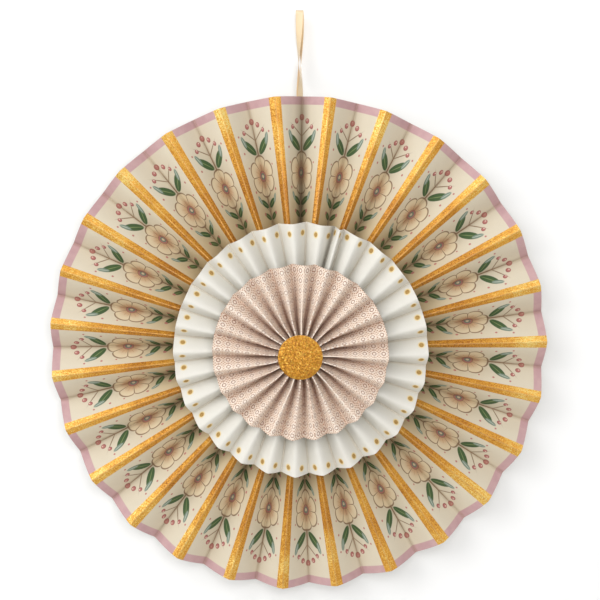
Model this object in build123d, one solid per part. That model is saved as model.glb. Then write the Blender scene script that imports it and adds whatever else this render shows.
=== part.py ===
"""Paper fan rosette: three pleated paper rings stacked on card discs, with a ribbon loop to hang it by.

Each ring is one strip of paper, folded like an accordion and closed into a ring. A panel keeps its width
all the way in, so the folds open towards the rim and stand almost on edge at the hub.

The rings are built lying down, front upwards, and the last step hangs them up: +Z is up, the front faces -Y
and the rear face of the backing disc lies in the plane Y = 0, with the origin at its middle. Angles run
clockwise from the top, as seen from the front. All sizes are in millimetres and degrees.
"""

from build123d import *
import math
import os

# paper and folds
PAPER = 0.3  # thickness of the folded paper
CREASE_FLAT = 0.2  # flat left inside a fold, so that the paper isn't cracked
FOLD_GAP = 0.4  # air between two folds where they crowd at the hub
PANEL_STEPS = 5  # flat steps in which a panel twists from its hub to its rim

# outer fan
OUTER_PLEATS = 27
OUTER_RADIUS = 200.0
OUTER_RIM_DEPTH = 19.0  # from ridge to valley at the rim
OUTER_SEAM = 0.76  # angle of the valley where the strip is closed
OUTER_SWAY = 3.2  # how far the pleats run ahead of even steps, half way round from the seam
OUTER_WAVE = -0.66  # uneven steps on top of that, four times round the ring

# middle fan
MIDDLE_PLEATS = 29
MIDDLE_RADIUS = 101.0
MIDDLE_RIM_DEPTH = 11.0
MIDDLE_SEAM = 15.2
MIDDLE_SWAY = 4.3
MIDDLE_SEAM_OPENING = 0.36  # opening of the pleat at the seam, 1 is as open as the others
MIDDLE_ASIDE = 1.0  # it is glued on this far to the right
MIDDLE_DROOP = 2.1  # its front hangs this much lower than its rear

# inner fan
INNER_PLEATS = 24
INNER_RADIUS = 69.0
INNER_RIM_DEPTH = 9.6
INNER_SEAM = 7.0
INNER_SWAY = 3.4
INNER_TWIST = 2.5  # turn of the rim against the hub
INNER_ASIDE = 0.4
INNER_DROOP = 1.5
INNER_HUB_ASIDE = 0.6  # from the middle of the rim to the middle of the hub
INNER_HUB_DROP = 1.2

# card discs that the rings are glued to
BACKING_RADIUS = 30.0
BACKING_CARD = 1.0
JOINING_RADIUS = 25.0  # between two rings
JOINING_CARD = 1.0
SEAT_MARGIN = 2.0  # the folds lie flat this far past the edge of a disc

# glitter disc at the centre
CENTRE_RADIUS = 17.5
CENTRE_CARD = 1.2
CENTRE_DROP = 3.7  # it is glued on a little below the middle

# hanging ribbon
RIBBON_WIDTH = 6.0
RIBBON_THICK = 0.3
RIBBON_RISE = 68.2  # from the rim up to the top of the loop
RIBBON_TAIL = 10.0  # glued length behind the rim
RIBBON_LOOP = 5.0  # width of the loop at its top
RIBBON_BEND = 2.3  # radius of the two bends at the top of the loop
RIBBON_SPREAD = 300.0  # radius where a leg leaves the glued tail
RIBBON_START = 4.0  # height above the rim at which the two legs part
RIBBON_LAYER_GAP = 0.3  # glue between the two tails
RIBBON_CLEARANCE = 0.3  # glue between the tail and the panel
RIBBON_FOLD_OFFSET = 3.3  # from the seam's fold to the middle of the ribbon, along the panel

CREASE = PAPER + CREASE_FLAT  # width of a fold at the middle of the paper


class Fan:
    """The sizes of one pleated ring, worked out from its own dimensions and the discs it is glued to."""

    def __init__(
        self, pleats, radius, rim_depth, seam, sway, disc_reach, floor,
        wave=0.0, seam_opening=1.0, twist=0.0, aside=0.0, droop=0.0, hub_aside=0.0, hub_drop=0.0,
    ):
        self.pleats = pleats
        self.radius = radius
        self.seam = math.radians(seam)
        self.sway = math.radians(sway)
        self.wave = math.radians(wave)
        self.seam_opening = seam_opening
        self.twist = math.radians(twist)
        self.aside = aside
        self.droop = droop
        self.hub_aside = hub_aside
        self.hub_drop = hub_drop
        self.panel = math.hypot(math.pi * radius / pleats, rim_depth)
        self.hub_radius = pleats * (CREASE + FOLD_GAP) / math.pi
        self.seat_radius = disc_reach + SEAT_MARGIN
        self.seat_half_depth = self.panel / 2
        self.rim_half_depth = rim_depth / 2
        self.floor = floor
        self.middle = floor + PAPER / 2 + self.panel / 2
        self.front = floor + PAPER + self.panel

    def hub_angle(self, fold):
        """The angle of a fold at the hub. Even folds are valleys, odd ones are ridges."""
        turn = math.pi * fold / self.pleats
        uneven = self.sway * (1 - math.cos(turn)) / 2 + self.wave * math.sin(4 * turn)
        return self.seam + turn + uneven

    def rim_angle(self, fold):
        """The angle of a fold at the rim, where the pleat after the seam may be closed up."""
        pitch = 2 * math.pi / (self.pleats - 1 + self.seam_opening)
        opened = pitch * (self.seam_opening * min(fold, 2) + max(fold - 2, 0)) / 2
        return self.hub_angle(fold) + self.twist + opened - math.pi * fold / self.pleats

    def settled(self, point, at_hub):
        """Where a point ends up: the ring is glued on aside, and its front hangs lower than its rear."""
        sunk = self.droop * (point.Z - self.floor) / (self.front - self.floor)
        return point + Vector(self.aside + at_hub * self.hub_aside, -sunk - at_hub * self.hub_drop, 0)

    def rear_middle(self):
        return self.settled(Vector(0, 0, self.floor), 1)

    def front_middle(self):
        return self.settled(Vector(0, 0, self.front), 1)

    def fold_radii(self):
        """How far from the middle of the ring the points of a fold line lie."""
        step_length = (self.radius - self.seat_radius) / PANEL_STEPS
        return [self.hub_radius] + [self.seat_radius + step_length * step for step in range(PANEL_STEPS + 1)]

    def fold_line(self, fold):
        """A fold's points in the middle of the paper, from hub to rim: level on its seat, then straight."""
        side = 1 if fold % 2 else -1
        seat_height = self.middle + side * self.seat_half_depth
        rim_height = self.middle + side * self.rim_half_depth
        hub = self.settled(polar(self.hub_radius, self.hub_angle(fold), seat_height), 1)
        seat = self.settled(polar(self.seat_radius, self.hub_angle(fold), seat_height), 1)
        rim = self.settled(polar(self.radius, self.rim_angle(fold), rim_height), 0)
        return [hub] + [seat + (rim - seat) * (step / PANEL_STEPS) for step in range(PANEL_STEPS + 1)]


def polar(radius, angle, height):
    return Vector(radius * math.sin(angle), radius * math.cos(angle), height)


def fold_corners(fan, fold):
    """Corners of the creased paper along one fold: front left and right, back left and right."""
    side = 1 if fold % 2 else -1
    line = fan.fold_line(fold)
    outwards = line[-1] - line[1]
    across = Vector(outwards.Y, -outwards.X, 0).normalized()
    rows = []
    for middle, radius in zip(line, fan.fold_radii()):
        run = math.pi * radius / fan.pleats - CREASE
        rise = 2 * abs(middle.Z - fan.middle)
        mitre = PAPER * math.tan(math.atan2(rise, run) / 2)
        front = middle + Vector(0, 0, PAPER / 2)
        back = middle - Vector(0, 0, PAPER / 2)
        front_half = across * ((CREASE + side * mitre) / 2)
        back_half = across * ((CREASE - side * mitre) / 2)
        rows.append((front - front_half, front + front_half, back - back_half, back + back_half))
    return rows


def flat(*corners):
    return Face(Wire.make_polygon(corners, close=True))


def pleated_ring(fan):
    """One closed ring of folded paper: creases and panels on both sides, and the cut edges at hub and rim."""
    folds = [fold_corners(fan, fold) for fold in range(2 * fan.pleats)]
    faces = []
    for fold, rows in enumerate(folds):
        after = folds[(fold + 1) % len(folds)]
        ridge_first = fold % 2 == 1
        for step in range(len(rows) - 1):
            front_left, front_right, back_left, back_right = rows[step]
            next_front_left, next_front_right, next_back_left, next_back_right = rows[step + 1]
            faces.append(flat(front_left, next_front_left, next_front_right, front_right))
            faces.append(flat(back_left, back_right, next_back_right, next_back_left))
            for right, left in ((1, 0), (3, 2)):
                inner_a, outer_a = rows[step][right], rows[step + 1][right]
                inner_b, outer_b = after[step][left], after[step + 1][left]
                if ridge_first:
                    faces.append(flat(inner_a, outer_a, outer_b))
                    faces.append(flat(inner_a, outer_b, inner_b))
                else:
                    faces.append(flat(inner_a, outer_a, inner_b))
                    faces.append(flat(outer_a, outer_b, inner_b))
        for end in (0, -1):
            front_left, front_right, back_left, back_right = rows[end]
            faces.append(flat(front_left, front_right, back_right, back_left))
            faces.append(flat(front_right, after[end][0], back_right))
            faces.append(flat(after[end][0], after[end][2], back_right))
    return Solid(Shell(faces))


def card_disc(radius, card, place):
    return Pos(place) * Cylinder(radius, card, align=(Align.CENTER, Align.CENTER, Align.MIN))


def joining_disc(rear_fan, front_fan):
    """A disc between two rings, half way between the middles of the two hubs that it joins."""
    rear, front = rear_fan.front_middle(), front_fan.rear_middle()
    place = Vector((rear.X + front.X) / 2, (rear.Y + front.Y) / 2, rear_fan.front)
    return card_disc(JOINING_RADIUS, front_fan.floor - rear_fan.front, place)


def hang_up(shape):
    """Stands a lying shape upright, with its front towards -Y."""
    return Rot(X=90) * shape


def ribbon_loop(fan):
    """A flat ribbon loop, glued by both tails to the rear of the panel on the left of the seam."""
    depth = fan.seat_half_depth - fan.rim_half_depth
    tail_share = RIBBON_TAIL / (fan.radius - fan.seat_radius)
    valley_half = fan.rim_half_depth + tail_share * depth
    run = math.pi * (fan.radius - RIBBON_TAIL) / fan.pleats - CREASE
    slope = math.atan2(2 * valley_half, run)
    leftwards = Vector(-math.cos(slope), -math.sin(slope), 0)
    rearwards = Vector(-math.sin(slope), math.cos(slope), 0)
    fold = Vector(fan.radius * math.sin(fan.seam), valley_half - fan.middle, fan.radius * math.cos(fan.seam))
    off_panel = (PAPER + RIBBON_THICK) / 2 + RIBBON_CLEARANCE
    tail = fold + leftwards * RIBBON_FOLD_OFFSET + rearwards * off_panel

    second = RIBBON_THICK + RIBBON_LAYER_GAP
    left = (second - RIBBON_LOOP) / 2
    route = [
        (0, -RIBBON_TAIL),
        (0, RIBBON_START),
        (left, RIBBON_RISE),
        (left + RIBBON_LOOP, RIBBON_RISE),
        (second, RIBBON_START),
        (second, -RIBBON_TAIL),
    ]
    points = [tail + rearwards * out + Vector(0, 0, up) for out, up in route]
    path = FilletPolyline(*points, radius=[RIBBON_SPREAD, RIBBON_BEND, RIBBON_BEND, RIBBON_SPREAD])
    start = Plane(origin=path @ 0, x_dir=leftwards, z_dir=path % 0)
    ribbon = sweep(start * Rectangle(RIBBON_WIDTH, RIBBON_THICK), path=path)
    print("ribbon radii", RIBBON_SPREAD, RIBBON_BEND)
    print("ribbon length", round(path.length, 1), "top", [round(c, 2) for c in path @ 0.5])
    print("ribbon volume", ribbon.volume, "section times length", RIBBON_WIDTH * RIBBON_THICK * path.length)
    return ribbon


outer = Fan(
    OUTER_PLEATS, OUTER_RADIUS, OUTER_RIM_DEPTH, OUTER_SEAM, OUTER_SWAY,
    disc_reach=max(BACKING_RADIUS, JOINING_RADIUS), floor=BACKING_CARD, wave=OUTER_WAVE,
)
middle = Fan(
    MIDDLE_PLEATS, MIDDLE_RADIUS, MIDDLE_RIM_DEPTH, MIDDLE_SEAM, MIDDLE_SWAY,
    disc_reach=JOINING_RADIUS, floor=outer.front + JOINING_CARD,
    seam_opening=MIDDLE_SEAM_OPENING, aside=MIDDLE_ASIDE, droop=MIDDLE_DROOP,
)
inner = Fan(
    INNER_PLEATS, INNER_RADIUS, INNER_RIM_DEPTH, INNER_SEAM, INNER_SWAY,
    disc_reach=max(JOINING_RADIUS, CENTRE_RADIUS + CENTRE_DROP), floor=middle.front + JOINING_CARD,
    twist=INNER_TWIST, aside=INNER_ASIDE, droop=INNER_DROOP,
    hub_aside=INNER_HUB_ASIDE, hub_drop=INNER_HUB_DROP,
)

nodes = {
    "backing_disc": hang_up(card_disc(BACKING_RADIUS, BACKING_CARD, Vector(0, 0, 0))),
    "outer_fan": hang_up(pleated_ring(outer)),
    "rear_joining_disc": hang_up(joining_disc(outer, middle)),
    "middle_fan": hang_up(pleated_ring(middle)),
    "front_joining_disc": hang_up(joining_disc(middle, inner)),
    "inner_fan": hang_up(pleated_ring(inner)),
    "centre_disc": hang_up(card_disc(CENTRE_RADIUS, CENTRE_CARD, Vector(0, -CENTRE_DROP, inner.front))),
    "hanging_ribbon": ribbon_loop(outer),
}

os.makedirs("parts", exist_ok=True)
for name, solid in nodes.items():
    export_step(solid, f"parts/{name}.step")
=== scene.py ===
"""Looks of the paper fan rosette: pleated paper, glitter card and a satin ribbon, on a white wall."""

import math

import bpy
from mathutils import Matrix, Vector, noise


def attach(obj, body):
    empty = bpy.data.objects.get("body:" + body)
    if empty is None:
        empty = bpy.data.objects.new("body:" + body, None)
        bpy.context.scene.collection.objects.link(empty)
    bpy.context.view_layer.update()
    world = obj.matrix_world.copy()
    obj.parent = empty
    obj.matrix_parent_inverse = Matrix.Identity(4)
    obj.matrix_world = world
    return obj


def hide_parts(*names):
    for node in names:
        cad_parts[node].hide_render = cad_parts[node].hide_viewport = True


MM = 0.001

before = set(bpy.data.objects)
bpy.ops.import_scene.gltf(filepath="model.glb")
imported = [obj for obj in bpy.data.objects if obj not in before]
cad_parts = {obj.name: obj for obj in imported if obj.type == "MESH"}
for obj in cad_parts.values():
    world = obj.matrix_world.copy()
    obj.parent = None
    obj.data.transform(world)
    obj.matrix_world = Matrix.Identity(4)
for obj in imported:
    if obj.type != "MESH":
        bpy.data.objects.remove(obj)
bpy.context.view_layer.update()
scene = bpy.context.scene

# the same sizes as the solids, in millimetres and degrees
PAPER = 0.3
CREASE = 0.5
FOLD_GAP = 0.4
SEAT_MARGIN = 2.0
OUTER_FAN = dict(
    pleats=27, radius=200.0, rim_depth=19.0, seam=0.76, sway=3.2, wave=-0.66, disc_reach=30.0,
)
MIDDLE_FAN = dict(
    pleats=29, radius=101.0, rim_depth=11.0, seam=15.2, sway=4.3, seam_opening=0.36,
    aside=1.0, droop=2.1, disc_reach=25.0,
)
INNER_FAN = dict(
    pleats=24, radius=69.0, rim_depth=9.6, seam=7.0, sway=3.4, twist=2.5,
    aside=0.4, droop=1.5, hub_aside=0.6, hub_drop=1.2, disc_reach=25.0,
)
BACKING_CARD = 1.0
JOINING_CARD = 1.0
CENTRE_RADIUS = 17.5
CENTRE_CARD = 1.2
CENTRE_DROP = 3.7
RIBBON_WIDTH = 6.0
RIBBON_THICK = 0.3

# how far a panel curves out towards its ridge, from 0, flat, to 1, a quarter wave,
# and the same for the two panels beside the seam
OUTER_BOW, OUTER_SEAM_BOW = 0.55, 1.0
MIDDLE_BOW, MIDDLE_SEAM_BOW = 0.85, 1.0
INNER_BOW, INNER_SEAM_BOW = 0.9, 0.9

# edges that turn by more degrees than this are shaded as sharp
OUTER_SHARP = 20.0
MIDDLE_SHARP = 36.0
INNER_SHARP = 36.0
RIBBON_SHARP = 60.0
DISC_SHARP = 40.0

# print, in millimetres on the flat paper
STRIPE = 6.3  # gold on each side of a ridge
STRIPE_SOFT = 0.2
BORDER = 6.5  # pink edge at the rim
BORDER_SOFT = 0.3
OUTER_SEAM_SHADE = 11.0  # how far the painted shade beside a seam reaches
MIDDLE_SEAM_SHADE = 6.0
BLOSSOM_PETALS = 6
BLOSSOM_INSET = 61.0  # from the rim to the blossom's middle
BLOSSOM_RADIUS = 17.5
DOT = 2.3  # radius of the dots on the white fan
DOT_INSET = 4.4  # from the rim to the middle of the first dot
DOT_SLANT = 3.8  # how much further in the last dot lies
DOT_START = 0.33  # where the first dot lies across its panel
DOT_DRIFT = 0.42  # how much further across the last one lies
LATTICE_PITCH = 7.8
LATTICE_INSET = 4.2  # from the rim to the first row of rings
LATTICE_SOFT = 0.2
THREAD = 0.3  # from thread to thread across the ribbon
WEFT = 0.45  # from thread to thread along it

# surfaces: grains to the metre, heights in metres, tilts and strengths as shares
FOIL_GRAINS = 1700.0
FOIL_TILT = 0.5
FOIL_STREAK, FOIL_SHEEN_PATCH, FOIL_GRAIN = 0.6, 0.7, 0.5  # how much each counts in the foil's tone
GLITTER_GRAINS = 1400.0
GLITTER_TILT = 0.6
DOT_GRAINS = 2200.0
FIBRE_STRENGTH, FIBRE_HEIGHT = 0.15, 0.00005
CARD_STRENGTH, CARD_HEIGHT = 0.3, 0.0001
WEAVE_STRENGTH, WEAVE_HEIGHT = 0.25, 0.00004

LIGHT = 1.26  # how brightly the lamps and the room together light a surface that faces the front


def linear(value):
    """The share of light that an sRGB value stands for, where 255 is all of it."""
    share = value / 255
    if share <= 0.04045:
        return share / 12.92
    return ((share + 0.055) / 1.055) ** 2.4


def srgb(red, green, blue):
    """The colour of a surface that looks like these sRGB values where it is fully lit."""
    return (*[linear(value) / LIGHT for value in (red, green, blue)], 1.0)


# camera, at the photograph's viewing angle
CAMERA_PLACE = Vector((-22.4, -1149.3, 145.95)) * MM
CAMERA_AIM = Vector((1.06, 0.0, 35.05)) * MM
CAMERA_LENS = 84.56
CAMERA_SENSOR = 36.0
camera_data = bpy.data.cameras.new("camera")
camera_data.lens = CAMERA_LENS
camera_data.sensor_width = CAMERA_SENSOR
camera = bpy.data.objects.new("camera", camera_data)
camera.location = CAMERA_PLACE
camera.rotation_euler = (CAMERA_AIM - CAMERA_PLACE).to_track_quat("-Z", "Y").to_euler()
scene.collection.objects.link(camera)
scene.camera = camera


class Paint:
    """One node material: adds nodes, wires them up, and lays shapes of colour one over the other."""

    def __init__(self, name):
        self.material = bpy.data.materials.new(name)
        self.material.use_nodes = True
        self.tree = self.material.node_tree
        self.shader = self.tree.nodes["Principled BSDF"]

    def node(self, kind, **settings):
        made = self.tree.nodes.new(kind)
        for name, value in settings.items():
            setattr(made, name, value)
        return made

    def put(self, socket, value):
        """Links another node's output to a socket, or sets the socket to a constant."""
        if isinstance(value, bpy.types.NodeSocket):
            self.tree.links.new(value, socket)
        else:
            socket.default_value = value

    def set(self, **values):
        """Sets the shader's inputs by name, as in base_color for Base Color."""
        for name, value in values.items():
            self.put(self.shader.inputs[name.replace("_", " ").title()], value)

    def math(self, operation, *values):
        made = self.node("ShaderNodeMath", operation=operation)
        for socket, value in zip(made.inputs, values):
            self.put(socket, value)
        return made.outputs[0]

    def vector_math(self, operation, *values, out="Vector"):
        made = self.node("ShaderNodeVectorMath", operation=operation)
        for socket, value in zip(made.inputs, values):
            self.put(socket, value)
        return made.outputs[out]

    def length(self, vector):
        return self.vector_math("LENGTH", vector, out="Value")

    def point(self, x, y, z=0.0):
        made = self.node("ShaderNodeCombineXYZ")
        for socket, value in zip(made.inputs, (x, y, z)):
            self.put(socket, value)
        return made.outputs[0]

    def parts(self, vector):
        made = self.node("ShaderNodeSeparateXYZ")
        self.put(made.inputs[0], vector)
        return made.outputs[0], made.outputs[1], made.outputs[2]

    def mix(self, share, below, above):
        made = self.node("ShaderNodeMix", data_type="RGBA", clamp_factor=True)
        for index, value in ((0, share), (6, below), (7, above)):
            self.put(made.inputs[index], value)
        return made.outputs[2]

    def tint(self, colour, where, share, shade):
        """Lays a shade over the colour: where says the place, and share how strongly."""
        return self.mix(self.math("MULTIPLY", where, share), colour, shade)

    def ramp(self, value, start, end, low=0.0, high=1.0):
        made = self.node("ShaderNodeMapRange", clamp=True, interpolation_type="SMOOTHSTEP")
        for socket, given in zip(made.inputs, (value, start, end, low, high)):
            self.put(socket, given)
        return made.outputs[0]

    def noise(self, vector, scale, detail=3.0, roughness=0.55):
        made = self.node("ShaderNodeTexNoise")
        self.put(made.inputs["Vector"], vector)
        self.put(made.inputs["Scale"], scale)
        self.put(made.inputs["Detail"], detail)
        self.put(made.inputs["Roughness"], roughness)
        return made.outputs["Fac"]

    def cells(self, vector, scale):
        """Random grains, with a random colour for each."""
        made = self.node("ShaderNodeTexVoronoi")
        self.put(made.inputs["Vector"], vector)
        self.put(made.inputs["Scale"], scale)
        return made.outputs["Color"]

    def position(self):
        return self.node("ShaderNodeTexCoord").outputs["Object"]

    def strip_place(self):
        """Where a point lies on the flat strip, in millimetres: along it, and across it.

        Across is measured from the rim on a fan, and from the middle on the ribbon.
        """
        made = self.node("ShaderNodeUVMap", uv_map="paper")
        scaled = self.vector_math("MULTIPLY", made.outputs[0], (1 / MM, 1 / MM, 0.0))
        along, inwards, _ = self.parts(scaled)
        return along, inwards

    def spot(self, place, x, y, half_width, half_height, turn=0.0, soft=0.25):
        """An ellipse on the paper, 1 inside and 0 outside."""
        made = self.node("ShaderNodeMapping", vector_type="TEXTURE")
        self.put(made.inputs["Vector"], place)
        self.put(made.inputs["Location"], (x, y, 0.0))
        self.put(made.inputs["Rotation"], (0.0, 0.0, math.radians(turn)))
        self.put(made.inputs["Scale"], (half_width, half_height, 1.0))
        far = self.length(made.outputs[0])
        edge = soft / min(half_width, half_height)
        return self.ramp(far, 1.0 + edge, 1.0 - edge)

    def bump(self, height, strength, distance):
        made = self.node("ShaderNodeBump")
        self.put(made.inputs["Strength"], strength)
        self.put(made.inputs["Distance"], distance)
        self.put(made.inputs["Height"], height)
        return made.outputs[0]


def tilted_normal(paint, random, tilt):
    """The surface's normal, tipped at random from grain to grain."""
    tip = paint.vector_math("SUBTRACT", random, (0.5, 0.5, 0.5))
    tip = paint.vector_math("MULTIPLY", tip, (tilt, tilt, tilt))
    normal = paint.node("ShaderNodeNewGeometry").outputs["Normal"]
    return paint.vector_math("NORMALIZE", paint.vector_math("ADD", normal, tip))


def paper_grain(paint, place, colour, depth=0.10):
    """Faint blotches and fibres in the colour of paper."""
    stain = srgb(206, 188, 160)
    blotch = paint.ramp(paint.noise(place, 45.0), 0.35, 0.7)
    fibre = paint.ramp(paint.noise(place, 1400.0, 4.0), 0.3, 0.75)
    shade = paint.math("MULTIPLY", paint.math("ADD", blotch, fibre), depth)
    return paint.mix(shade, colour, stain), fibre


def paper_bump(paint, fibre):
    """The slight relief of paper fibres."""
    return paint.bump(fibre, FIBRE_STRENGTH, FIBRE_HEIGHT)


def plain_paper(name, colour):
    """Unprinted paper."""
    paint = Paint(name)
    shade, fibre = paper_grain(paint, paint.position(), colour)
    paint.set(base_color=shade, roughness=0.8, normal=paper_bump(paint, fibre))
    return paint.material


def from_valley(paint, along, panel):
    """How far a point lies from the nearest valley fold, along the strip."""
    return paint.math("ABSOLUTE", paint.math("WRAP", along, panel, -panel))


def near_seam(paint, along, length, reach):
    """1 at the glued ends of the strip, 0 further away."""
    ends = paint.math("MINIMUM", along, paint.math("SUBTRACT", length, along))
    return paint.ramp(ends, reach, 0.0)


def gold_foil(paint, body, along, inwards, panel):
    """Gold stripe along a ridge: streaks along the fold, slow patches of painted sheen and a fine grain,
    with a painted highlight and a painted glint on the lightest tones.
    """
    dull = srgb(174, 106, 26)
    gold = srgb(226, 158, 50)
    # the two lightest colours are a painted highlight and a painted glint
    bright = srgb(244, 190, 80)
    painted_glint = srgb(255, 228, 138)
    ridge = paint.math("FLOOR", paint.math("DIVIDE", along, 2 * panel))
    streak_place = paint.point(along, paint.math("MULTIPLY", inwards, 0.03))
    streak = paint.noise(streak_place, 1.1, 2.0)
    sheen_patch_place = paint.point(paint.math("MULTIPLY", ridge, 5.3), paint.math("MULTIPLY", inwards, 0.035))
    sheen_patch = paint.noise(sheen_patch_place, 1.0, 1.0)
    random = paint.cells(body, FOIL_GRAINS)
    grain, _, _ = paint.parts(random)
    tone = paint.math("MULTIPLY_ADD", streak, FOIL_STREAK, paint.math("MULTIPLY", sheen_patch, FOIL_SHEEN_PATCH))
    tone = paint.math("MULTIPLY_ADD", grain, FOIL_GRAIN, tone)
    # painted highlight towards the rim, painted shade towards the hub
    tone = paint.math("ADD", tone, paint.ramp(inwards, 0.0, 45.0, 0.14, 0.0))
    tone = paint.math("ADD", tone, paint.ramp(inwards, 20.0, 85.0, 0.0, -0.15))
    colour = paint.mix(paint.ramp(tone, 0.50, 0.88), dull, gold)
    colour = paint.mix(paint.ramp(tone, 0.90, 1.10), colour, bright)
    colour = paint.mix(paint.ramp(tone, 1.10, 1.28), colour, painted_glint)
    return colour, tilted_normal(paint, random, FOIL_TILT)


# colours of the printed sprig
BROWN = srgb(146, 118, 92)
PEACH = srgb(236, 218, 184)
ROSE = srgb(196, 128, 120)
DEEP_ROSE = srgb(160, 84, 84)
BLUSH = srgb(244, 222, 206)
GREEN = srgb(72, 98, 58)
LEAF_LIGHT = srgb(132, 150, 96)
TEAL = srgb(128, 146, 132)
TEAL_LIGHT = srgb(196, 204, 186)
OLIVE = srgb(92, 108, 62)


def sprig(paint, place, colour):
    """A stem with twigs, berries near the rim and leaves, over the paper's colour."""
    stems = ((0, 60, 0.6, 42, 0), (5.2, 27.5, 0.45, 8.5, 52), (7.5, 84, 0.4, 8, 48))
    for x, y, half_width, half_height, turn in stems:
        colour = paint.mix(paint.spot(place, x, y, half_width, half_height, turn, 0.3), colour, BROWN)
    berries = ((0, 16.5, 2.5), (6.2, 19.5, 2.2), (11.5, 24, 1.9))
    for x, y, size in berries:
        colour = paint.mix(paint.spot(place, x, y, size, size), colour, DEEP_ROSE)
        colour = paint.mix(paint.spot(place, x, y - 0.3, size - 0.6, size - 0.6, 0, 0.5), colour, ROSE)
        colour = paint.mix(paint.spot(place, x - 0.5, y - 0.8, 0.55, 0.55), colour, BLUSH)
    leaves = (
        (9.0, 36.5, 3.6, 9.2, 48, GREEN, LEAF_LIGHT),
        (14.5, 31.0, 2.0, 5.0, 20, TEAL, TEAL_LIGHT),
        (6.5, 83.0, 2.6, 6.6, 60, GREEN, LEAF_LIGHT),
        (5.5, 93.5, 2.2, 5.6, 62, OLIVE, LEAF_LIGHT),
        (13.0, 79.0, 1.7, 4.2, 30, TEAL, TEAL_LIGHT),
    )
    for x, y, half_width, half_height, turn, shade, vein in leaves:
        colour = paint.mix(paint.spot(place, x, y, half_width, half_height, turn), colour, shade)
        colour = paint.mix(paint.spot(place, x, y, 0.4, half_height * 0.85, turn, 0.3), colour, vein)
    return colour


def blossom(paint, place, colour):
    """A blossom with round petals, over the paper's colour."""
    throat = srgb(214, 176, 134)
    ray_colour = srgb(190, 138, 108)
    eye = srgb(240, 224, 190)
    around = paint.vector_math("SUBTRACT", place, (0.0, BLOSSOM_INSET, 0.0))
    far = paint.length(around)
    side, down, _ = paint.parts(around)
    turn = paint.math("ARCTAN2", side, down)
    wave = paint.math("ABSOLUTE", paint.math("COSINE", paint.math("MULTIPLY", turn, BLOSSOM_PETALS / 2)))
    wave = paint.math("POWER", wave, 0.45)
    edge = paint.math("MULTIPLY_ADD", wave, BLOSSOM_RADIUS * 0.24, BLOSSOM_RADIUS * 0.76)
    reached = paint.math("DIVIDE", far, edge)
    colour = paint.mix(paint.ramp(reached, 1.02, 0.98), colour, BROWN)
    petal = paint.mix(paint.ramp(reached, 0.2, 0.8), throat, PEACH)
    colour = paint.mix(paint.ramp(reached, 0.95, 0.90), colour, petal)
    colour = paint.tint(colour, paint.ramp(wave, 0.42, 0.28), paint.ramp(reached, 1.0, 0.9), BROWN)
    ray = paint.math("ABSOLUTE", paint.math("SINE", paint.math("MULTIPLY", turn, BLOSSOM_PETALS * 1.5)))
    colour = paint.tint(colour, paint.ramp(ray, 0.16, 0.06), paint.ramp(reached, 0.62, 0.5), ray_colour)
    for size, shade in ((4.6, BROWN), (4.1, ROSE), (2.8, TEAL), (1.3, eye)):
        colour = paint.mix(paint.spot(place, 0, BLOSSOM_INSET, size, size), colour, shade)
    return colour


def printed_paper(panel, panels):
    """Cream paper with a pink border, gold on the ridges and a small generic sprig along each valley, with
    painted shade towards the hub, along the valleys and beside the seam.
    """
    paint = Paint("printed_paper")
    body = paint.position()
    along, inwards = paint.strip_place()
    aside = from_valley(paint, along, panel)
    place = paint.point(aside, inwards)

    cream, fibre = paper_grain(paint, body, srgb(232, 221, 198))
    # painted shade: the cream darkens towards the hub
    colour = paint.mix(paint.ramp(inwards, 30.0, 110.0), cream, srgb(218, 196, 154))
    colour = sprig(paint, place, colour)
    colour = blossom(paint, place, colour)
    # dots beside the leaves
    dots = ((17.5, 40, 1.0), (17.0, 52, 0.8), (16.5, 72, 1.2), (10.5, 91, 1.5), (19.0, 26.0, 0.9))
    for x, y, size in dots:
        colour = paint.mix(paint.spot(place, x, y, size, size), colour, ROSE)

    # border and gold stripes
    blotch = paint.ramp(paint.noise(body, 120.0), 0.3, 0.7)
    pink = paint.mix(blotch, srgb(214, 176, 176), srgb(206, 166, 168))
    colour = paint.mix(paint.ramp(inwards, BORDER + BORDER_SOFT, BORDER - BORDER_SOFT), colour, pink)
    gold, tilted = gold_foil(paint, body, along, inwards, panel)
    in_stripe = paint.ramp(aside, panel - STRIPE - STRIPE_SOFT, panel - STRIPE + STRIPE_SOFT)
    colour = paint.mix(in_stripe, colour, gold)

    # worn line along the ridges, painted shade along the valleys, and painted shade beside the seam that
    # deepens towards the hub
    to_ridge = paint.math("SUBTRACT", panel, aside)
    colour = paint.tint(colour, paint.ramp(to_ridge, 0.7, 0.2), 0.35, srgb(196, 160, 104))
    colour = paint.tint(colour, paint.ramp(aside, 3.2, 0.0), 0.3, srgb(150, 122, 84))
    seam = near_seam(paint, along, panels * panel, OUTER_SEAM_SHADE)
    colour = paint.tint(colour, seam, paint.ramp(inwards, 0.0, 90.0, 0.35, 0.6), srgb(104, 86, 56))

    normal = paint.node("ShaderNodeMix", data_type="VECTOR")
    for index, value in ((0, in_stripe), (4, paper_bump(paint, fibre)), (5, tilted)):
        paint.put(normal.inputs[index], value)
    paint.set(
        base_color=colour,
        metallic=paint.math("MULTIPLY", in_stripe, 0.35),
        roughness=paint.ramp(in_stripe, 0.0, 1.0, 0.75, 0.42),
        normal=normal.outputs[1],
    )
    return paint.material


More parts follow.
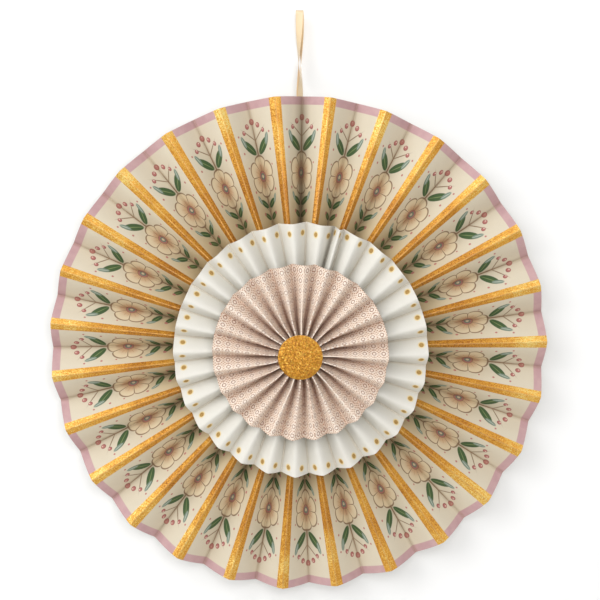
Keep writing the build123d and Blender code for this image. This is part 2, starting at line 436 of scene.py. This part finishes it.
def dotted_paper(panel, panels):
    """White paper with a gold dot on each panel near the rim, in a row that slants a little."""
    paint = Paint("white_paper")
    body = paint.position()
    along, inwards = paint.strip_place()
    step = panel * (1 + DOT_DRIFT / panels)
    from_first = paint.math("SUBTRACT", along, DOT_START * panel)
    from_dot = paint.math("WRAP", from_first, step / 2, -step / 2)
    inset = paint.math("MULTIPLY_ADD", along, DOT_SLANT / (panels * panel), DOT_INSET)
    place = paint.point(from_dot, paint.math("SUBTRACT", inwards, inset))

    colour, fibre = paper_grain(paint, body, srgb(240, 237, 228), 0.06)
    random = paint.cells(body, DOT_GRAINS)
    gold = paint.mix(paint.ramp(random, 0.1, 0.9), srgb(162, 118, 52), srgb(204, 166, 94))
    halo = paint.spot(place, 0, 0, DOT + 0.5, DOT + 0.5, 0, 0.5)
    colour = paint.mix(halo, colour, srgb(247, 224, 168))
    colour = paint.mix(paint.spot(place, 0, 0, DOT - 0.4, DOT - 0.4, 0, 0.35), colour, gold)
    # painted shade along the valleys, and a stronger painted shade beside the seam
    valley = from_valley(paint, along, panel)
    colour = paint.tint(colour, paint.ramp(valley, 2.2, 0.1), 0.24, srgb(192, 168, 126))
    seam = near_seam(paint, along, panels * panel, MIDDLE_SEAM_SHADE)
    colour = paint.tint(colour, seam, 0.5, srgb(128, 120, 102))
    paint.set(base_color=colour, roughness=0.7, normal=paper_bump(paint, fibre))
    return paint.material


def lattice_paper(panel):
    """Pale pink paper with a traditional lattice of small rings and dots."""
    paint = Paint("lattice_paper")
    body = paint.position()
    along, inwards = paint.strip_place()
    half, sixth = LATTICE_PITCH / 2, LATTICE_PITCH / 6
    rosy = srgb(156, 104, 74)
    colour, fibre = paper_grain(paint, body, srgb(253, 234, 216), 0.06)

    # staggered grid of dots, with rings over it and a darker dot between two rings
    x = paint.math("WRAP", along, half, -half)
    y = paint.math("WRAP", paint.math("SUBTRACT", inwards, LATTICE_INSET), half, -half)
    rising = paint.math("PINGPONG", paint.math("ADD", x, y), sixth)
    falling = paint.math("PINGPONG", paint.math("SUBTRACT", x, y), sixth)
    mesh = paint.length(paint.point(rising, falling))
    colour = paint.mix(paint.ramp(mesh, 0.9, 0.55), colour, srgb(170, 116, 82))
    far = paint.length(paint.point(x, y))
    for size, shade in ((2.7, srgb(254, 242, 228)), (1.9, rosy), (1.2, srgb(254, 240, 226))):
        colour = paint.mix(paint.ramp(far, size + LATTICE_SOFT, size - LATTICE_SOFT), colour, shade)
    beside = paint.math("SUBTRACT", half, paint.math("ABSOLUTE", x))
    beside = paint.length(paint.point(beside, y))
    colour = paint.mix(paint.ramp(beside, 0.7, 0.4), colour, rosy)

    # painted shade deep in the valleys, stronger towards the hub, and a painted highlight along the ridges
    across = from_valley(paint, along, panel)
    valley_shade = paint.ramp(inwards, 10.0, 50.0, 0.08, 0.62)
    colour = paint.tint(colour, paint.ramp(across, panel * 0.55, 0.0), valley_shade, srgb(158, 92, 52))
    ridge = paint.math("SUBTRACT", panel, across)
    colour = paint.tint(colour, paint.ramp(ridge, 1.6, 0.2), 0.15, srgb(252, 238, 222))
    paint.set(base_color=colour, roughness=0.72, normal=paper_bump(paint, fibre))
    return paint.material


def glitter_card():
    """Gold glitter: the colour and the tilt differ from grain to grain."""
    paint = Paint("glitter_card")
    random = paint.cells(paint.position(), GLITTER_GRAINS)
    tone, bright, _ = paint.parts(random)
    colour = paint.mix(paint.ramp(tone, 0.0, 0.6), srgb(150, 90, 4), srgb(196, 134, 24))
    colour = paint.mix(paint.ramp(bright, 0.78, 1.0), colour, srgb(228, 184, 76))
    tilted = tilted_normal(paint, random, GLITTER_TILT)
    paint.set(base_color=colour, metallic=0.5, roughness=0.42, normal=tilted)
    return paint.material


def card(name, colour):
    """Rough recycled card with specks and blotches."""
    paint = Paint(name)
    place = paint.position()
    speck = paint.ramp(paint.noise(place, 900.0, 5.0, 0.7), 0.35, 0.7)
    blotch = paint.ramp(paint.noise(place, 60.0), 0.3, 0.7)
    shade = paint.tint(colour, speck, 0.4, srgb(140, 122, 100))
    shade = paint.tint(shade, blotch, 0.2, srgb(214, 200, 178))
    relief = paint.bump(speck, CARD_STRENGTH, CARD_HEIGHT)
    paint.set(base_color=shade, roughness=0.85, normal=relief)
    return paint.material


def satin(name, dark, light, selvedge, roughness):
    """Woven ribbon: fine threads along it and across it, and a firm edge."""
    paint = Paint(name)
    along, across = paint.strip_place()
    thread = paint.math("SINE", paint.math("MULTIPLY", across, 2 * math.pi / THREAD))
    weft = paint.math("SINE", paint.math("MULTIPLY", along, 2 * math.pi / WEFT))
    weave = paint.math("MULTIPLY_ADD", thread, 0.6, paint.math("MULTIPLY", weft, 0.4))
    colour = paint.mix(paint.ramp(weave, -1.0, 1.0), dark, light)
    edge = paint.math("ABSOLUTE", across)
    at_edge = paint.ramp(edge, RIBBON_WIDTH / 2 - 0.5, RIBBON_WIDTH / 2 - 0.2)
    colour = paint.mix(at_edge, colour, selvedge)
    paint.set(
        base_color=colour,
        roughness=roughness,
        sheen_weight=0.3,
        anisotropic=0.6,
        normal=paint.bump(weave, WEAVE_STRENGTH, WEAVE_HEIGHT),
    )
    return paint.material


# which of a piece's two materials a face has
FRONT = 0
BACK = 1


def polar(radius, angle, height):
    """A point of a ring that faces -Y: the angle runs clockwise from the top, height is towards -Y."""
    return Vector((radius * math.sin(angle), -height, radius * math.cos(angle)))


def make_mesh(name, points, faces, corners, kinds, materials, sharp):
    """A mesh piece of the object. Its UV map holds places on the flat strip, in metres."""
    mesh = bpy.data.meshes.new(name)
    mesh.from_pydata(points, [], faces)
    layer = mesh.uv_layers.new(name="paper")
    layer.data.foreach_set("uv", [c * MM for corner in corners for c in corner])
    for material in materials:
        mesh.materials.append(material)
    mesh.polygons.foreach_set("material_index", kinds)
    mesh.polygons.foreach_set("use_smooth", [True] * len(faces))
    mesh.set_sharp_from_angle(angle=math.radians(sharp))
    mesh.update()
    piece = bpy.data.objects.new(name, mesh)
    scene.collection.objects.link(piece)
    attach(piece, "root")
    return piece


class Fan:
    """One pleated ring, with the same folds as its solid and panels that bow a little towards the ridges."""

    STEPS = 24  # along a fold
    COLUMNS = 8  # across a panel
    UNEVEN = 0.35  # how far a panel waves out of its plane, in millimetres
    FOLD_CHANGE, STEP_CHANGE, SHARE_CHANGE = 3.1, 0.16, 0.7  # how fast that changes
    BOW_GROWTH = 3  # the bow is full a third of the way from the seat to the rim
    WAVES = 4  # how often the uneven steps between pleats come back round the ring

    def __init__(
        self, floor, bow, seam_bow, pleats, radius, rim_depth, seam, sway, disc_reach,
        wave=0.0, seam_opening=1.0, twist=0.0, aside=0.0, droop=0.0, hub_aside=0.0, hub_drop=0.0,
    ):
        self.bow = bow
        self.seam_bow = seam_bow
        self.pleats = pleats
        self.radius = radius
        self.seam = math.radians(seam)
        self.sway = math.radians(sway)
        self.wave = math.radians(wave)
        self.seam_opening = seam_opening
        self.twist = math.radians(twist)
        self.aside = aside
        self.droop = droop
        self.hub_aside = hub_aside
        self.hub_drop = hub_drop
        self.panel = math.hypot(math.pi * radius / pleats, rim_depth)
        self.hub_radius = pleats * (CREASE + FOLD_GAP) / math.pi
        self.seat_radius = disc_reach + SEAT_MARGIN
        self.seat_half_depth = self.panel / 2
        self.rim_half_depth = rim_depth / 2
        self.floor = floor
        self.middle = floor + PAPER / 2 + self.panel / 2
        self.front = floor + PAPER + self.panel

    def hub_angle(self, fold):
        """Where a fold stands at the hub: not in quite even steps."""
        turn = math.pi * fold / self.pleats
        uneven = self.sway * (1 - math.cos(turn)) / 2 + self.wave * math.sin(self.WAVES * turn)
        return self.seam + turn + uneven

    def rim_angle(self, fold):
        """Where a fold stands at the rim: twisted, and with another width for the pleat at the seam."""
        pitch = 2 * math.pi / (self.pleats - 1 + self.seam_opening)
        opened = pitch * (self.seam_opening * min(fold, 2) + max(fold - 2, 0)) / 2
        return self.hub_angle(fold) + self.twist + opened - math.pi * fold / self.pleats

    def settled(self, point, at_hub):
        """Where a point ends up: glued on aside, with the front hanging lower than the rear."""
        sunk = self.droop * (-point.y - self.floor) / (self.front - self.floor)
        return point + Vector((self.aside + at_hub * self.hub_aside, 0, -sunk - at_hub * self.hub_drop))

    def fold_radii(self):
        """How far each point of a fold lies from the axis before the ring settles."""
        step_length = (self.radius - self.seat_radius) / self.STEPS
        return [self.hub_radius] + [self.seat_radius + step_length * step for step in range(self.STEPS + 1)]

    def fold_line(self, fold):
        """Points along the middle of a fold, from the hub to the rim: odd folds are ridges."""
        side = 1 if fold % 2 else -1
        seat_height = self.middle + side * self.seat_half_depth
        rim_height = self.middle + side * self.rim_half_depth
        hub = self.settled(polar(self.hub_radius, self.hub_angle(fold), seat_height), 1)
        seat = self.settled(polar(self.seat_radius, self.hub_angle(fold), seat_height), 1)
        rim = self.settled(polar(self.radius, self.rim_angle(fold), rim_height), 0)
        return [hub] + [seat.lerp(rim, step / self.STEPS) for step in range(self.STEPS + 1)]

    def fold_corners(self, fold):
        """The front and the back edges of the creased paper along one fold: left and right of each."""
        side = 1 if fold % 2 else -1
        line = self.fold_line(fold)
        outwards = line[-1] - line[1]
        across = Vector((outwards.z, 0, -outwards.x)).normalized()
        forwards = Vector((0, -PAPER / 2, 0))
        edges = [[], [], [], []]
        for middle, radius in zip(line, self.fold_radii()):
            run = math.pi * radius / self.pleats - CREASE
            rise = 2 * abs(-middle.y - self.middle)
            mitre = PAPER * math.tan(math.atan2(rise, run) / 2)
            front_half = across * ((CREASE + side * mitre) / 2)
            back_half = across * ((CREASE - side * mitre) / 2)
            edges[0].append(middle + forwards - front_half)
            edges[1].append(middle + forwards + front_half)
            edges[2].append(middle - forwards - back_half)
            edges[3].append(middle - forwards + back_half)
        return edges

    def panel_column(self, share, fold, right, left):
        """A line of points along a panel, between one fold and the next: bowed, and slightly uneven."""
        from_valley_fold = 1 - share if fold % 2 else share
        bow = self.seam_bow if fold in (0, 2 * self.pleats - 1) else self.bow
        bowed = bow * (math.sin(math.pi * from_valley_fold / 2) - from_valley_fold)
        column = []
        for step, (a, b) in enumerate(zip(right, left)):
            nearer = max(step - 1, 0)
            along = right[min(step + 1, len(right) - 1)] - right[nearer]
            normal = (b - a).cross(along).normalized()
            opened = max(0.0, (step - 2) / (len(right) - 3))
            place = Vector(
                (fold * self.FOLD_CHANGE + self.pleats, step * self.STEP_CHANGE, share * self.SHARE_CHANGE)
            )
            uneven = self.UNEVEN * noise.noise(place) * math.sin(math.pi * share) * opened
            forwards = bowed * abs(b.y - a.y) * min(1.0, self.BOW_GROWTH * opened)
            column.append(a.lerp(b, share) + normal * uneven + Vector((0, -forwards, 0)))
        return column

    def mesh(self, name, front_material, back_material, sharp):
        """Closed paper: front and back, and the cut edges at hub and rim."""
        folds = [self.fold_corners(fold) for fold in range(2 * self.pleats)]
        fronts, backs, places = [], [], []
        for fold, edges in enumerate(folds):
            after = folds[(fold + 1) % len(folds)]
            for edge in (0, 1):
                fronts.append(edges[edge])
                backs.append(edges[edge + 2])
                places.append(fold * self.panel)
            for column in range(1, self.COLUMNS):
                share = column / self.COLUMNS
                fronts.append(self.panel_column(share, fold, edges[1], after[0]))
                backs.append(self.panel_column(share, fold, edges[3], after[2]))
                places.append((fold + share) * self.panel)
        rows = len(fronts[0])
        line = self.fold_line(1)
        from_rim = [(line[-1] - point).length for point in line]
        points = [p * MM for column in fronts + backs for p in column]
        behind = len(fronts) * rows
        faces, kinds, corners = [], [], []
        for i in range(len(fronts)):
            j = (i + 1) % len(fronts)
            u, v = places[i], places[j] if j else 2 * self.pleats * self.panel
            for row in range(rows - 1):
                ring = ((i, row, u), (j, row, v), (j, row + 1, v), (i, row + 1, u))
                faces.append([c * rows + r for c, r, _ in ring])
                faces.append([behind + c * rows + r for c, r, _ in reversed(ring)])
                corners += [(p, from_rim[r]) for _, r, p in ring]
                corners += [(p, from_rim[r]) for _, r, p in reversed(ring)]
                kinds += [FRONT, BACK]
            rim = rows - 1
            faces.append([i * rows + rim, j * rows + rim, behind + j * rows + rim, behind + i * rows + rim])
            faces.append([j * rows, i * rows, behind + i * rows, behind + j * rows])
            corners += [(u, 0.0)] * 4 + [(u, from_rim[0])] * 4
            kinds += [BACK, BACK]
        return make_mesh(name, points, faces, corners, kinds, (front_material, back_material), sharp)


# hanging ribbon: near the route of its solid, turned at the top to face the front as it hangs
RIBBON_TOP = 268.0
RIBBON_FOOT = 204.0
RIBBON_TURN = -137.7
RIBBON_COLUMNS = 8
RIBBON_EDGE = 0.45  # thickness of the ribbon's edge, as a share of the rest
RIBBON_ROUTE = (
    (0.7, -7.3, 190.0),
    (0.9, -7.1, 204.0),
    (2.0, -7.4, 225.0),
    (1.2, -6.2, 262.0),
    (0.6, -5.7, RIBBON_TOP),
    (0.6, -10.3, RIBBON_TOP),
    (0.4, -9.8, 262.0),
    (-0.3, -7.4, 225.0),
    (0.5, -6.66, 204.0),
    (0.3, -6.86, 187.5),
)


def spline_points(route):
    """Points along a smooth spline that has the route as its control points, in metres."""
    curve = bpy.data.curves.new("ribbon_route", "CURVE")
    curve.dimensions = "3D"
    curve.resolution_u = 16
    spline = curve.splines.new("NURBS")
    spline.points.add(len(route) - 1)
    for point, place in zip(spline.points, route):
        point.co = (*[c * MM for c in place], 1.0)
    spline.order_u = 3
    spline.use_endpoint_u = True
    carrier = bpy.data.objects.new("ribbon_route", curve)
    scene.collection.objects.link(carrier)
    read = bpy.data.meshes.new_from_object(carrier)
    line = [vertex.co.copy() for vertex in read.vertices]
    bpy.data.meshes.remove(read)
    bpy.data.objects.remove(carrier)
    bpy.data.curves.remove(curve)
    return line


def ribbon_mesh(line, materials):
    """A flat band along the line, turned by height so that its top faces the front."""
    half, columns = RIBBON_WIDTH * MM / 2, RIBBON_COLUMNS
    thick = RIBBON_THICK * MM / 2
    points, run = [], [0.0]
    for a, b in zip(line, line[1:]):
        run.append(run[-1] + (b - a).length)
    for index, middle in enumerate(line):
        ahead = (line[min(index + 1, len(line) - 1)] - line[max(index - 1, 0)]).normalized()
        fall = (RIBBON_TOP * MM - middle.z) / ((RIBBON_TOP - RIBBON_FOOT) * MM)
        turn = math.radians(RIBBON_TURN) * min(max(fall, 0.0), 1.0)
        wide = Vector((math.cos(turn), math.sin(turn), 0))
        wide = (wide - ahead * wide.dot(ahead)).normalized()
        out = ahead.cross(wide)
        for face in (1, -1):
            for column in range(columns + 1):
                share = 2 * column / columns - 1
                thin = thick if 0 < column < columns else thick * RIBBON_EDGE
                points.append(middle + wide * (half * share) + out * (face * thin))
    ring = 2 * (columns + 1)
    around = list(range(columns + 1)) + list(range(ring - 1, columns, -1))
    widths = [RIBBON_WIDTH * (c / columns - 0.5) for c in range(columns + 1)]
    widths = widths + widths[::-1]
    faces, corners, kinds = [], [], []
    for index in range(len(line) - 1):
        for k in range(ring):
            m = (k + 1) % ring
            rows = ((index, k), (index + 1, k), (index + 1, m), (index, m))
            faces.append([r * ring + around[c] for r, c in rows])
            corners += [(run[r] / MM, widths[c]) for r, c in rows]
            kinds.append(BACK if k > columns else FRONT)
    faces.append([around[k] for k in range(ring)])
    faces.append([(len(line) - 1) * ring + around[k] for k in reversed(range(ring))])
    corners += [(0.0, widths[k]) for k in range(ring)]
    corners += [(run[-1] / MM, widths[k]) for k in reversed(range(ring))]
    kinds += [FRONT, FRONT]
    return make_mesh("ribbon", points, faces, corners, kinds, materials, RIBBON_SHARP), run[-1]


ribbon_line = spline_points(RIBBON_ROUTE)
satin_face = satin(
    "ribbon_satin",
    dark=srgb(246, 217, 172),
    light=srgb(254, 231, 194),
    selvedge=srgb(238, 203, 153),
    roughness=0.38,
)
# the back is turned away from the lamps, which its values above 255 make up for
satin_back = satin(
    "ribbon_back",
    dark=srgb(264, 236, 188),
    light=srgb(272, 248, 206),
    selvedge=srgb(256, 222, 168),
    roughness=0.55,
)
ribbon, ribbon_length = ribbon_mesh(ribbon_line, (satin_face, satin_back))
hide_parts("hanging_ribbon")

# the three fans
outer = Fan(BACKING_CARD, OUTER_BOW, OUTER_SEAM_BOW, **OUTER_FAN)
middle = Fan(outer.front + JOINING_CARD, MIDDLE_BOW, MIDDLE_SEAM_BOW, **MIDDLE_FAN)
inner = Fan(middle.front + JOINING_CARD, INNER_BOW, INNER_SEAM_BOW, **INNER_FAN)
back_paper = plain_paper("paper_back", srgb(236, 230, 216))
outer_paper = printed_paper(outer.panel, 2 * outer.pleats)
middle_paper = dotted_paper(middle.panel, 2 * middle.pleats)
inner_paper = lattice_paper(inner.panel)
for fan, name, node, slot, material, sharp in (
    (outer, "printed_fan", "outer_fan", "printed_paper", outer_paper, OUTER_SHARP),
    (middle, "white_fan", "middle_fan", "white_paper", middle_paper, MIDDLE_SHARP),
    (inner, "lattice_fan", "inner_fan", "lattice_paper", inner_paper, INNER_SHARP),
):
    piece = fan.mesh(name, material, back_paper, sharp)
    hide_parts(node)

# centre disc, in millimetres
DISC_SIDES = 128
DISC_FRONT_ROUND = 0.3
DISC_FRONT_CORNER = 0.08  # how far the rounding cuts the corner in the middle of its bend
DISC_REAR_ROUND = 0.15
DISC_FRONT_BANDS = 3  # bands of the profile, from the middle, that the glitter covers


def glitter_disc():
    """Card disc with a slightly rounded cut edge and glitter on its front."""
    profile = (
        (CENTRE_RADIUS * 0.5, CENTRE_CARD),
        (CENTRE_RADIUS - DISC_FRONT_ROUND, CENTRE_CARD),
        (CENTRE_RADIUS - DISC_FRONT_CORNER, CENTRE_CARD - DISC_FRONT_CORNER),
        (CENTRE_RADIUS, CENTRE_CARD - DISC_FRONT_ROUND),
        (CENTRE_RADIUS, DISC_REAR_ROUND),
        (CENTRE_RADIUS - DISC_REAR_ROUND, 0.0),
    )
    drop = Vector((0, 0, -CENTRE_DROP))
    points = [(polar(0, 0, inner.front + height) + drop) * MM for height in (CENTRE_CARD, 0.0)]
    for radius, height in profile:
        for side in range(DISC_SIDES):
            angle = 2 * math.pi * side / DISC_SIDES
            points.append((polar(radius, angle, inner.front + height) + drop) * MM)
    faces, kinds = [], []
    rings = len(profile)
    for side in range(DISC_SIDES):
        after = (side + 1) % DISC_SIDES
        faces.append([0, 2 + side, 2 + after])
        kinds.append(FRONT)
        for ring in range(rings - 1):
            a, b = 2 + ring * DISC_SIDES, 2 + (ring + 1) * DISC_SIDES
            faces.append([a + side, b + side, b + after, a + after])
            kinds.append(FRONT if ring < DISC_FRONT_BANDS else BACK)
        last = 2 + (rings - 1) * DISC_SIDES
        faces.append([1, last + after, last + side])
        kinds.append(BACK)
    corners = [(0.0, 0.0)] * sum(len(face) for face in faces)
    return make_mesh("gold_disc", points, faces, corners, kinds, (glitter_card(), back_paper), DISC_SHARP)


disc = glitter_disc()
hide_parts("centre_disc")

grey_card = card("grey_card", srgb(196, 186, 172))
for name in ("backing_disc", "rear_joining_disc", "front_joining_disc"):
    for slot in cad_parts[name].material_slots:
        slot.material = grey_card

# wall and floor, in metres
WALL = 0.002
FLOOR = -0.6
STAGE = 3.0  # how far the wall and the floor reach
WALL_SHADED, WALL_FAR = 0.82, 0.89  # how white the wall is near the object, darkened there as painted shade, and further away
WALL_NEAR_REACH, WALL_FAR_REACH = 0.205, 0.25


def stage_plane(name, corners, material):
    """One flat face that isn't part of the object."""
    mesh = bpy.data.meshes.new(name)
    mesh.from_pydata(corners, [], [(0, 1, 2, 3)])
    mesh.materials.append(material)
    plane = bpy.data.objects.new(name, mesh)
    scene.collection.objects.link(plane)
    return plane


def wall_paint():
    """White wall, darker near the object as painted shade and lighter away from it, that a view from behind
    looks through.
    """
    paint = Paint("wall")
    x, _, z = paint.parts(paint.position())
    far = paint.length(paint.point(x, z))
    out_of_shade = paint.ramp(far, WALL_NEAR_REACH, WALL_FAR_REACH)
    white = paint.mix(out_of_shade, (WALL_SHADED, WALL_SHADED, WALL_SHADED, 1), (WALL_FAR, WALL_FAR, WALL_FAR, 1))
    paint.set(base_color=white, roughness=0.9)
    clear = paint.node("ShaderNodeBsdfTransparent")
    behind = paint.node("ShaderNodeNewGeometry").outputs["Backfacing"]
    mixed = paint.node("ShaderNodeMixShader")
    paint.put(mixed.inputs[0], behind)
    paint.put(mixed.inputs[1], paint.shader.outputs[0])
    paint.put(mixed.inputs[2], clear.outputs[0])
    paint.put(paint.tree.nodes["Material Output"].inputs["Surface"], mixed.outputs[0])
    return paint.material


wall = stage_plane(
    "wall",
    [(-STAGE, WALL, FLOOR), (STAGE, WALL, FLOOR), (STAGE, WALL, STAGE), (-STAGE, WALL, STAGE)],
    wall_paint(),
)
wall.visible_diffuse = False
wall.visible_glossy = False
wall.visible_shadow = False
stage_plane(
    "floor",
    [(-STAGE, -STAGE, FLOOR), (STAGE, -STAGE, FLOOR), (STAGE, STAGE, FLOOR), (-STAGE, STAGE, FLOOR)],
    plain_paper("floor", srgb(240, 240, 238)),
)

# soft studio light: an even white room, a large lamp from the upper left, one from the front, one behind
ROOM_LIGHT = 0.4  # how brightly the room lights the object
ROOM_SEEN = 1.0  # how bright it looks to the camera and in reflections


def studio_room():
    """A white world, brighter where it is seen or reflected than where it lights."""
    world = bpy.data.worlds.new("studio")
    world.use_nodes = True
    scene.world = world
    nodes, links = world.node_tree.nodes, world.node_tree.links
    path = nodes.new("ShaderNodeLightPath")
    reflected = nodes.new("ShaderNodeMath")
    reflected.operation = "MAXIMUM"
    links.new(path.outputs["Is Glossy Ray"], reflected.inputs[0])
    links.new(path.outputs["Is Transmission Ray"], reflected.inputs[1])
    seen = nodes.new("ShaderNodeMath")
    seen.operation = "MAXIMUM"
    links.new(path.outputs["Is Camera Ray"], seen.inputs[0])
    links.new(reflected.outputs[0], seen.inputs[1])
    strength = nodes.new("ShaderNodeMapRange")
    links.new(seen.outputs[0], strength.inputs[0])
    strength.inputs["To Min"].default_value = ROOM_LIGHT
    strength.inputs["To Max"].default_value = ROOM_SEEN
    background = nodes["Background"]
    background.inputs["Color"].default_value = (1, 1, 1, 1)
    links.new(strength.outputs[0], background.inputs["Strength"])


def lamp(name, size, energy, place):
    """A round soft lamp that points at the object. Size and place are in metres, energy in watts."""
    data = bpy.data.lights.new(name, "AREA")
    data.shape = "DISK"
    data.size = size
    data.energy = energy
    made = bpy.data.objects.new(name, data)
    made.location = place
    made.rotation_euler = (-made.location).to_track_quat("-Z", "Y").to_euler()
    scene.collection.objects.link(made)


studio_room()
lamp("key", size=1.5, energy=16.5, place=(-1.1, -1.1, 0.85))
lamp("fill", size=1.2, energy=14.5, place=(0.1, -1.6, 0.4))
lamp("rear", size=1.5, energy=22.0, place=(0.9, 1.4, 0.9))

scene.view_settings.view_transform = "Standard"
